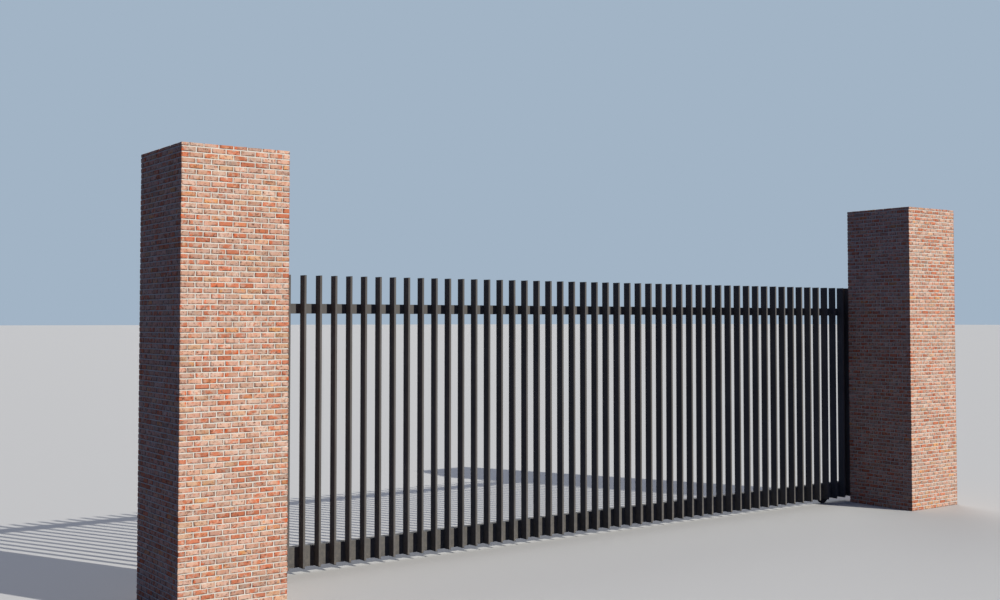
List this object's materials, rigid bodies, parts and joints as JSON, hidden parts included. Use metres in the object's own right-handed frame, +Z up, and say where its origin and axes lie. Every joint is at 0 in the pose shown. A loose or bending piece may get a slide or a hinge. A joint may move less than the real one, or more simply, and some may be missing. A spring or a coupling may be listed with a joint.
{
  "type": "sliding batten gate with brick piers",
  "caption": "Single sliding driveway gate of upright aluminium battens on two rails, running behind two square flat-topped brick piers.",
  "frame": {"origin": "centre of the left pier's foot, on the ground", "axes": "+X along the gate to the closing pier, +Y from the street into the property, +Z up"},
  "size_m": [6.725, 0.895, 2.46],
  "materials": {
    "brickwork": "slim orange-red to brown facing bricks with pale mortar joints",
    "powder_coat": "charcoal black satin powder coat on aluminium",
    "cap_plastic": "black moulded plastic",
    "coated_steel": "black powder coat on steel",
    "zinc_steel": "zinc plated steel",
    "nylon": "black nylon",
    "buffer_rubber": "matt black rubber"
  },
  "bodies": {
    "piers": {"left_pier": "brickwork", "right_pier": "brickwork", "guide_post": "coated_steel", "guide_roller_left": "nylon", "guide_roller_right": "nylon", "closing_catch": "coated_steel", "closing_buffer": "buffer_rubber"},
    "leaf": {"bottom_rail": "powder_coat", "top_rail": "powder_coat", "left_stile": "powder_coat", "right_stile": "powder_coat", "rail_end_plates": "powder_coat", "guide_bar": "powder_coat", "guide_spacers": "powder_coat", "guide_stops": "powder_coat", "left_wheel": "coated_steel", "right_wheel": "coated_steel", "left_axle": "zinc_steel", "right_axle": "zinc_steel", "batten_top_caps": "cap_plastic", "batten_bottom_caps": "cap_plastic", "battens_01": "powder_coat", "battens_02": "powder_coat", "battens_03": "powder_coat", "battens_04": "powder_coat", "battens_05": "powder_coat", "battens_06": "powder_coat", "battens_07": "powder_coat", "battens_08": "powder_coat", "battens_09": "powder_coat", "battens_10": "powder_coat"}
  },
  "joints": [
    {"name": "leaf_slide", "type": "slide", "parent": "piers", "child": "leaf", "axis": [-1, 0, 0], "range_m": [0, 5.565]}
  ]
}
